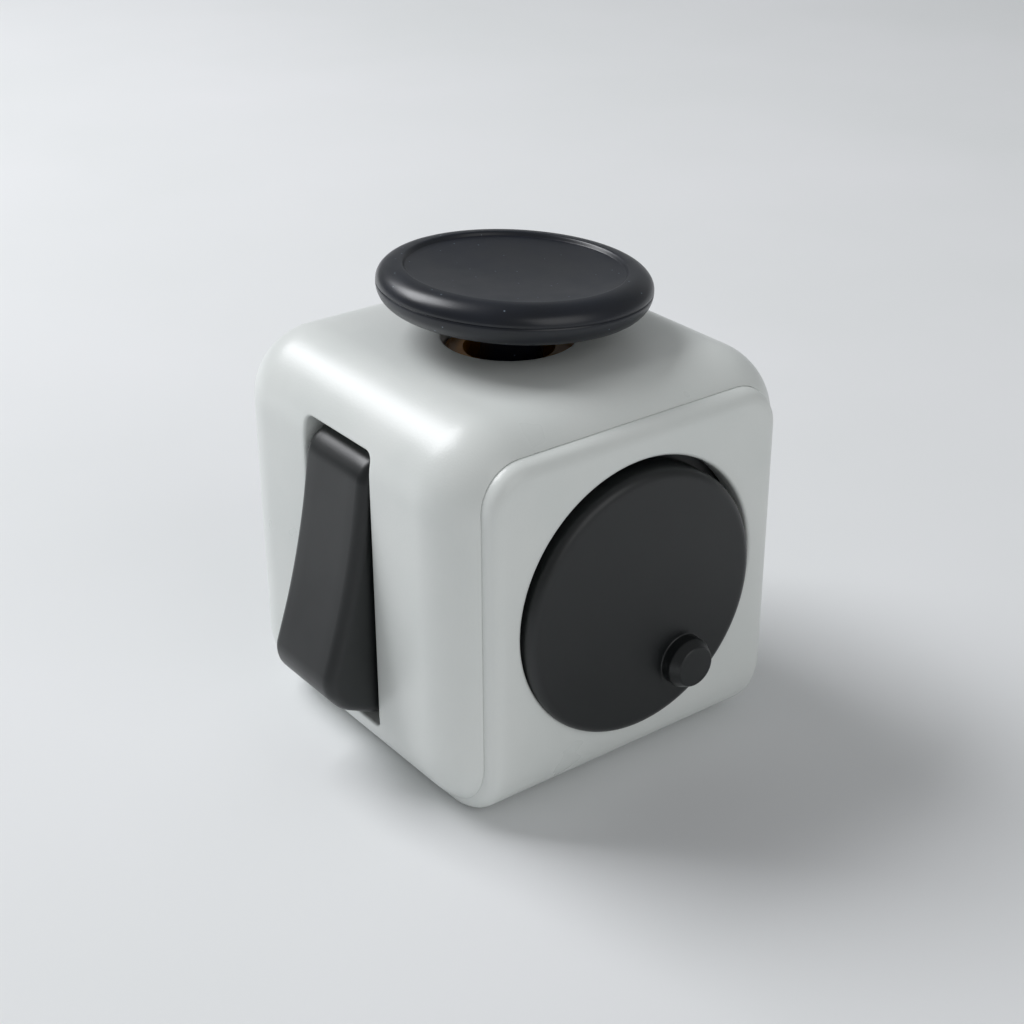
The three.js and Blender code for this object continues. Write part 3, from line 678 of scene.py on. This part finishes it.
half_outline = np.concatenate([half_outline[extra] + along_straight, hollow[7:15]])
outline = np.concatenate([half_outline, hollow[15:16], half_outline[::-1] * [1, -1]])
ahead = np.roll(outline[:-1], -1, axis=0) - np.roll(outline[:-1], 1, axis=0)
outward = unit(np.stack([-ahead[:, 1], ahead[:, 0]], -1))
outward *= np.sign((outward * outline[:-1]).sum(-1).mean())
outward = np.concatenate([outward, outward[:1]])
fillet = 0.3 + 0.65 * np.clip((outline[:, :1] + 1.3) / 2.6, 0, 1)
turn = np.linspace(0, math.pi / 2, 8)[:, None, None]
edge_rings = outline - outward * fillet * (1 - np.sin(turn))
edge_across = ROCKER_HALF - fillet[:, 0] * (1 - np.cos(turn[:, :, 0]))
hole = 1.0 * unit(outline)
face_share = np.array([0, 0.35, 0.7])[:, None, None]
face = hole + face_share * (edge_rings[0] - hole)
near_side = np.concatenate([
    np.concatenate([face, np.full(face.shape[:2] + (1,), ROCKER_HALF)], -1),
    np.concatenate([edge_rings, edge_across[:, :, None]], -1)])
middle_rows = np.array([0.5, 0, -0.5])[:, None, None] * [0, 0, ROCKER_HALF]
middle_rows = np.concatenate([np.broadcast_to(outline, (3,) + outline.shape), middle_rows[:, :, 2:] +
                              np.zeros((3, len(outline), 1))], -1)
rocker_grid = np.concatenate([near_side, middle_rows, near_side[::-1] * [1, 1, -1], near_side[:1]])
out_dir = (-math.cos(ROCKER_TILT), 0, math.sin(ROCKER_TILT))
up_dir = (math.sin(ROCKER_TILT), 0, math.cos(ROCKER_TILT))
rocker_grid = placed(rocker_grid, PIVOT, out_dir, up_dir, (0, 1, 0))
rocker = make_piece("black_rocker", *joined([rocker_grid]), "rocker", "rocker", crisp=50)

# %% [markdown]
# ## Joystick cap: a dished disc on a short neck
# The cap leans a little, as it stands at rest. Its section is spun: a full round rim with the
# mould's parting line round its widest part, a thin step, and a thumb dish that sinks less than a
# millimetre towards the middle.

# %% Joystick cap
CAP_RADIUS = 10.9
CAP_LEAN = math.radians(3.6)
STICK_PIVOT = np.array([0, 0, 27.7])
RIM_HEIGHT = 9.5
sweep = np.linspace(0, math.pi / 2, 13)[:, None]
UNDER_ACROSS, UNDER_UP = 1.7, 1.7  # half axes of the rim's lower quarter, across and up
OVER_ACROSS, OVER_UP = 1.75, 1.4  # and of its upper quarter
PARTING = 0.05  # half width of the parting line
under_rim = np.concatenate([CAP_RADIUS - UNDER_ACROSS * (1 - np.sin(sweep)),
                            RIM_HEIGHT - PARTING - UNDER_UP * np.cos(sweep)], -1)
over_rim = np.concatenate([CAP_RADIUS - OVER_ACROSS * (1 - np.cos(sweep)),
                           RIM_HEIGHT + PARTING + OVER_UP * np.sin(sweep)], -1)
dish_edge = softened([
    tuple(over_rim[-1]) + (0,), (8.85, 10.95, 0.25), (8.65, 10.62, 0.12), (8.2, 10.55, 0)], 5)
dish_floor = np.linspace(8.2, 0, 15)[1:, None]
dish_floor = np.concatenate([dish_floor, 10.55 - 0.55 * (1 - (dish_floor / 8.2) ** 2)], -1)
stem_part = softened([(0, 4.5, 0), (1.5, 4.5, 0.1), (1.5, 2.6, 0.1), (2.5, 2.6, 0.15), (2.5, 6.5, 0.8),
                      (8.3, 7.45, 1.5), tuple(under_rim[0]) + (0,)])
cap_section = np.concatenate([stem_part, under_rim[1:], [[CAP_RADIUS - 0.06, RIM_HEIGHT]], over_rim,
                              dish_edge[1:], dish_floor])
lean_x = (math.cos(CAP_LEAN), 0, -math.sin(CAP_LEAN))
lean_z = (math.sin(CAP_LEAN), 0, math.cos(CAP_LEAN))
cap_grid = placed(spun(cap_section, 160), STICK_PIVOT, lean_x, (0, 1, 0), lean_z)
cap = make_piece("black_joystick_cap", *joined([cap_grid]), "joystick", "joystick_cap", crisp=60)

# %% [markdown]
# ## Buttons: five domed plungers
# Each button is a small turned plunger with a domed top, a collar that stops it under the panel,
# and a pin for its spring. All five come from one mould, so they share one section and one mesh
# would do; each rides on its own body.

# %% Buttons
button_section = softened([
    (0, 18.8, 0), (1.5, 18.72, 5), (2.5, 18.2, 0.8), (2.8, 17.3, 1.2), (2.8, 14.4, 0.1),
    (3.5, 14.4, 0.12), (3.5, 13.2, 0.12), (1, 13.2, 0.1), (1, 9.4, 0.25), (0, 9.4, 0)])
buttons = []
for number in range(1, 6):
    place = middle_mm(f"button_{number}") * [1, 0, 1]
    grid = placed(spun(button_section, 64), place, (1, 0, 0), (0, 0, -1), (0, 1, 0))
    buttons.append(make_piece(f"black_button_{number}", *joined([grid]), f"button_{number}",
                              f"button_{number}", crisp=50))

# %% [markdown]
# ## Gears: three thumb wheels on one axle
# The outline is a radius that depends on the angle: fourteen flat-topped teeth with eased flanks.
# It is carried across the width, drawn in by a small fillet at both faces, and closed through the
# axle's hole.

# %% Gears
TEETH, TIP_RADIUS, TOOTH_HEIGHT, GEAR_HALF, GEAR_FILLET = 14, 4.9, 0.9, 1.3, 0.3
around = np.linspace(0, 2 * math.pi, TEETH * 20 + 1)
pitch_place = np.abs((around * TEETH / (2 * math.pi) + 0.5) % 1 - 0.5)
flank = np.clip((0.34 - pitch_place) / 0.17, 0, 1)
tooth_radius = TIP_RADIUS - TOOTH_HEIGHT * (1 - flank**2 * (3 - 2 * flank))
turn = np.linspace(0, math.pi / 2, 6)[:, None]
gear_rings = np.concatenate([
    np.stack([np.ones_like(around), np.full_like(around, 2.6)]),
    tooth_radius - GEAR_FILLET * (1 - np.sin(turn)), tooth_radius[None]])
fillet_across = (GEAR_HALF - GEAR_FILLET * (1 - np.cos(turn)))[:, 0]
gear_across = np.concatenate([[GEAR_HALF, GEAR_HALF], fillet_across, [0]])
gear_grid = np.stack([gear_rings * np.cos(around), gear_rings * np.sin(around),
                      gear_across[:, None] + 0 * around], -1)
gear_grid = np.concatenate([gear_grid, gear_grid[-2::-1] * [1, 1, -1], gear_grid[:1]])
gears = []
for number in range(1, 4):
    grid = placed(gear_grid, middle_mm(f"gear_{number}"), (-1, 0, 0), (0, 0, 1), (0, 1, 0))
    gears.append(make_piece(f"black_gear_{number}", *joined([grid]), f"gear_{number}",
                            f"gear_{number}", crisp=45))

# %% [markdown]
# ## Ball: a polished steel sphere
# A sphere swept from pole to pole, held by the wall's slightly smaller hole. It is the only bright
# metal outside.

# %% Ball
ball_low, ball_high = box_mm("roller_ball")
ball_radius = (ball_high[0] - ball_low[0]) / 2
latitude = np.linspace(-math.pi / 2, math.pi / 2, 49)
ball_section = np.stack([np.abs(np.cos(latitude)).round(12), np.sin(latitude)], -1) * ball_radius
ball_grid = placed(spun(ball_section, 96), middle_mm("roller_ball"), (0, 1, 0), (0, 0, 1), (1, 0, 0))
ball = make_piece("steel_ball", *joined([ball_grid]), "roller_ball", "roller_ball")

# %% [markdown]
# ## Finishes
# Every finish is made from noise in object coordinates, with scales taken from real sizes in
# millimetres. The moulded plastics need three things: a colour that hardly varies, a roughness that
# varies a little where fingers polish the texture, and a very fine grain that breaks highlights up
# at their edges.

# %% Small tools for materials


def shade(code):
    """An sRGB hex colour as linear red, green, blue, alpha."""
    parts = [int(code[k:k + 2], 16) / 255 for k in (1, 3, 5)]
    return tuple(c / 12.92 if c <= 0.04045 else ((c + 0.055) / 1.055) ** 2.4 for c in parts) + (1.0,)


def add_node(tree, kind, settings=None, links=None):
    """Adds one node; settings are input values or node options, links feed inputs from other sockets."""
    node = tree.nodes.new(kind)
    for name, value in (settings or {}).items():
        if hasattr(node, name):
            setattr(node, name, value)
        else:
            node.inputs[name].default_value = value
    for name, socket in (links or {}).items():
        tree.links.new(node.inputs[name], socket)
    return node


def blended(tree, factor, low, high):
    """Colour ramp from one colour to another."""
    ramp = add_node(tree, "ShaderNodeValToRGB", links={"Fac": factor})
    ramp.color_ramp.elements[0].position = 0.3
    ramp.color_ramp.elements[1].position = 0.7
    ramp.color_ramp.elements[0].color = shade(low)
    ramp.color_ramp.elements[1].color = shade(high)
    return ramp.outputs["Color"]


def finish_material(name, colours, rough, metal=0.0, ior=1.5, grain=(0.2, 0.15), stretch=(1, 1, 1),
                    blotch=7.0, wave=0.0):
    """A finish: two near colours, a roughness range, and a grain of (size in mm, strength).

    blotch is the size in mm of the uneven patches; stretch lengthens the grain along an axis for drawn
    or brushed metal; wave is the strength of a slow unevenness of the skin, as on a wall that shrank in
    its mould."""
    material = bpy.data.materials.new(name)
    material.use_nodes = True
    tree = material.node_tree
    shader = tree.nodes["Principled BSDF"]
    place = add_node(tree, "ShaderNodeTexCoord").outputs["Object"]
    patches = add_node(tree, "ShaderNodeTexNoise", {"Scale": 1 / (blotch * MM), "Detail": 3.0},
                       {"Vector": place})
    size, strength = grain
    long_place = add_node(tree, "ShaderNodeMapping", {"Scale": stretch}, {"Vector": place}).outputs["Vector"]
    fine = add_node(tree, "ShaderNodeTexNoise", {"Scale": 1 / (size * MM), "Detail": 2.0},
                    {"Vector": long_place})
    colour = blended(tree, patches.outputs["Fac"], *colours)
    roughness = add_node(tree, "ShaderNodeMapRange", {"From Min": 0.3, "From Max": 0.7, "To Min": rough[0],
                                                      "To Max": rough[1]}, {"Value": patches.outputs["Fac"]})
    bump = add_node(tree, "ShaderNodeBump", {"Strength": strength, "Distance": 0.01 * MM},
                    {"Height": fine.outputs["Fac"]})
    if wave:
        slow = add_node(tree, "ShaderNodeTexNoise", {"Scale": 1 / (5 * MM), "Detail": 0.0}, {"Vector": place})
        bump = add_node(tree, "ShaderNodeBump", {"Strength": wave, "Distance": 0.1 * MM},
                        {"Height": slow.outputs["Fac"], "Normal": bump.outputs["Normal"]})
    tree.links.new(shader.inputs["Base Color"], colour)
    tree.links.new(shader.inputs["Roughness"], roughness.outputs["Result"])
    tree.links.new(shader.inputs["Normal"], bump.outputs["Normal"])
    shader.inputs["Metallic"].default_value = metal
    if not metal:
        shader.inputs["IOR"].default_value = ior
    return material


# Injection-moulded ABS from a fine-textured mould: nearly even white with a soft broken sheen.
white_abs = finish_material("white_textured_abs", ("#e0e4e1", "#e6e9e6"), (0.27, 0.34), ior=1.54,
                            grain=(0.2, 0.9), blotch=9, wave=0.12)
# The same plastic coloured black: satin, slightly blue, handled until it shines a little in patches.
black_abs = finish_material("satin_black_abs", ("#0e1213", "#131617"), (0.34, 0.44), ior=1.54,
                            grain=(0.18, 0.35), blotch=5)
# The cap's face is polished by thumbs and shows dust specks; its blue tint is a painted reflection of the sky
# light in the gloss, put into the base colour of a black plastic.
cap_abs = finish_material("dusty_black_abs_painted_sky_reflection", ("#070c16", "#0a111e"), (0.28, 0.36), ior=1.54,
                          grain=(0.18, 0.3), blotch=4)
# Natural amber acetal, waxy and lightly glossy.
amber = finish_material("amber_acetal", ("#a86c10", "#bd8320"), (0.28, 0.36), ior=1.48,
                        grain=(0.3, 0.1), blotch=3)
# Grey nylon, as moulded: dull and even.
nylon = finish_material("grey_nylon", ("#84888b", "#909497"), (0.5, 0.6), ior=1.53,
                        grain=(0.2, 0.3), blotch=4)
# Ball-bearing steel, ground and polished.
bright_steel = finish_material("polished_bearing_steel", ("#c6c7c9", "#cfd0d2"), (0.07, 0.12), 1.0,
                               grain=(0.5, 0.02), blotch=2)
# Zinc-plated steel pins and screws, with faint turning marks.
plain_steel = finish_material("zinc_plated_steel", ("#b6b8bb", "#c4c6c9"), (0.24, 0.34), 1.0,
                              grain=(0.15, 0.2), stretch=(1, 0.2, 1), blotch=1.5)
# Drawn spring wire and stamped leaf: a darker steel with lengthwise lines.
spring_steel = finish_material("drawn_spring_steel", ("#8d9094", "#9ea1a5"), (0.28, 0.4), 1.0,
                               grain=(0.12, 0.3), stretch=(1, 1, 0.2), blotch=1.5)

# %% [markdown]
# ## Dust on the cap
# Tiny pale specks, about a tenth of a millimetre, lie scattered on the cap. A cell pattern gives
# one centre per cell; only cells with a high random value keep their speck.

# %% Specks
SPECK_SPACING = 0.75  # millimetres from cell to cell
SPECK_RADIUS = 0.085  # as a share of the spacing
CELLS_WITHOUT = 0.45  # share of cells that keep no speck
tree = cap_abs.node_tree
shader = tree.nodes["Principled BSDF"]
place = add_node(tree, "ShaderNodeTexCoord").outputs["Object"]
cells = add_node(tree, "ShaderNodeTexVoronoi", {"Scale": 1 / (SPECK_SPACING * MM)}, {"Vector": place})
near = add_node(tree, "ShaderNodeMath", {"operation": "LESS_THAN"}, {0: cells.outputs["Distance"]})
near.inputs[1].default_value = SPECK_RADIUS
picked = add_node(tree, "ShaderNodeSeparateColor", links={"Color": cells.outputs["Color"]})
kept = add_node(tree, "ShaderNodeMath", {"operation": "GREATER_THAN"}, {0: picked.outputs["Red"]})
kept.inputs[1].default_value = CELLS_WITHOUT
speck = add_node(tree, "ShaderNodeMath", {"operation": "MULTIPLY"}, {0: near.outputs[0], 1: kept.outputs[0]})
clean = shader.inputs["Base Color"].links[0].from_socket
dusty = add_node(tree, "ShaderNodeMixRGB", {"Color2": shade("#6e7a86")},
                 {"Fac": speck.outputs[0], "Color1": clean})
tree.links.new(shader.inputs["Base Color"], dusty.outputs["Color"])
print("materials:", len(bpy.data.materials))

# %% [markdown]
# ## Which piece gets which finish
# New pieces take their finish directly. CAD nodes that stay visible or stay inside keep their mesh
# and get the better material in all their slots, chosen by a word in the node's name.

# %% Assigning finishes
for piece, material, slot in [(upper, white_abs, "shell_plastic"), (band, white_abs, "shell_plastic"),
                              (dial, black_abs, "black_plastic"), (rocker, black_abs, "black_plastic"),
                              (cap, cap_abs, "black_plastic"), (ball, bright_steel, "polished_steel")]:
    piece.data.materials.append(material)
for piece in buttons + gears:
    piece.data.materials.append(black_abs)


def finish_of(name):
    """Finish of a CAD node, chosen by a word in its name."""
    words = {"housing": white_abs, "shell": white_abs, "seat_screw": plain_steel, "seat": amber,
             "screw": plain_steel, "pin": plain_steel, "axle": plain_steel, "clip": spring_steel,
             "leaf": spring_steel, "spring": spring_steel, "ball_cup": nylon, "roller": bright_steel,
             "gimbal": nylon, "cradle": nylon, "plate": nylon, "stem": plain_steel}
    return next((material for word, material in words.items() if word in name), black_abs)


for name, node in nodes.items():
    chosen = finish_of(name)
    for slot in node.material_slots:
        slot.material = chosen
print("CAD nodes with a finish:", sum(len(node.material_slots) > 0 for node in nodes.values()))

# %% [markdown]
# ## Floor and light
# A plain pale floor curves up far behind the toy. One large softbox stands to the upper left and a
# little behind, which gives the long broken highlight on the left top edge and the cap's soft
# shadow towards the front right. A weaker, wider light fills from the front.

# %% Floor
run = np.array([-0.6, -0.3, 0.0, 0.3, 0.6])
rise = np.linspace(0, math.pi / 2, 9)
back_y = np.concatenate([[-1.2, -0.5, 0.2, 0.6], 0.6 + 0.4 * np.sin(rise[1:]), [1.0]])
back_z = np.concatenate([[0, 0, 0, 0], 0.4 * (1 - np.cos(rise[1:])), [1.4]])
across = run[:, None]
floor_points = np.stack([across * 3 + 0 * back_y, 0 * across + back_y, 0 * across + back_z], -1)
heading = math.radians(36.86)
spin = np.array([[math.cos(heading), math.sin(heading), 0],
                 [-math.sin(heading), math.cos(heading), 0],
                 [0, 0, 1]])
floor_points = floor_points @ spin.T
points, quads = joined([floor_points])
floor_mesh = bpy.data.meshes.new("floor")
floor_mesh.from_pydata(points.tolist(), [], quads[:, ::-1].tolist())
floor_mesh.shade_smooth()
floor = bpy.data.objects.new("floor", floor_mesh)
bpy.context.scene.collection.objects.link(floor)
# Matt paper: pale, even and without a highlight.
paper = finish_material("pale_paper", ("#e8eaea", "#ecedee"), (0.75, 0.8), grain=(0.4, 0.1), blotch=60)
floor_mesh.materials.append(paper)
print("floor faces:", len(floor_mesh.polygons))

# %% Lights


def softbox(name, place, target, size, power, colour="#ffffff"):
    """A square light panel at a place in metres, turned to face a target."""
    lamp = bpy.data.lights.new(name, "AREA")
    lamp.size = size
    lamp.energy = power
    lamp.color = shade(colour)[:3]
    holder = bpy.data.objects.new(name, lamp)
    holder.location = place
    holder.rotation_euler = (Vector(place) - Vector(target)).to_track_quat("Z", "Y").to_euler()
    bpy.context.scene.collection.objects.link(holder)
    return holder


toy_middle = (CENTRE_X * MM, 0, MIDDLE * MM)
softbox("window_light", (-0.165, 0.33, 0.41), toy_middle, 0.3, 2.3, "#fbfcff")
softbox("front_fill", (0.05, -0.6, 0.35), toy_middle, 0.5, 0.85)
world = bpy.data.worlds.new("studio")
world.use_nodes = True
world.node_tree.nodes["Background"].inputs["Color"].default_value = shade("#f4f6f8")
world.node_tree.nodes["Background"].inputs["Strength"].default_value = 0.3
bpy.context.scene.world = world
bpy.context.scene.view_settings.view_transform = "Standard"
print("lights:", len(bpy.data.lights))

# %% [markdown]
# ## Camera
# The toy is seen from its front left, a little above, from about 15 cm: close enough for clear
# perspective.

# %% Camera
AZIMUTH = math.radians(-36.862)
HEIGHT_ANGLE = math.radians(27.502)
ROLL = math.radians(-0.267)
DISTANCE = 155.593  # millimetres from the cube's middle
backward = Vector((math.sin(AZIMUTH) * math.cos(HEIGHT_ANGLE), -math.cos(AZIMUTH) * math.cos(HEIGHT_ANGLE),
                   math.sin(HEIGHT_ANGLE)))
level = (-backward).cross(Vector((0, 0, 1))).normalized()
upward = backward.cross(level)
right = level * math.cos(ROLL) + upward * math.sin(ROLL)
upward = backward.cross(right)
eye = (Vector((CENTRE_X, 0, MIDDLE)) + backward * DISTANCE) * MM
lens = bpy.data.cameras.new("camera")
lens.lens = 65.88
lens.sensor_width = 36
lens.shift_x = 0.0021
lens.shift_y = 0.0070
lens.clip_start = 0.005
camera = bpy.data.objects.new("camera", lens)
camera.matrix_world = Matrix.Translation(eye) @ Matrix((right, upward, backward)).transposed().to_4x4()
bpy.context.scene.collection.objects.link(camera)
bpy.context.scene.camera = camera
print("camera:", DISTANCE, "mm away, lens", lens.lens, "mm")
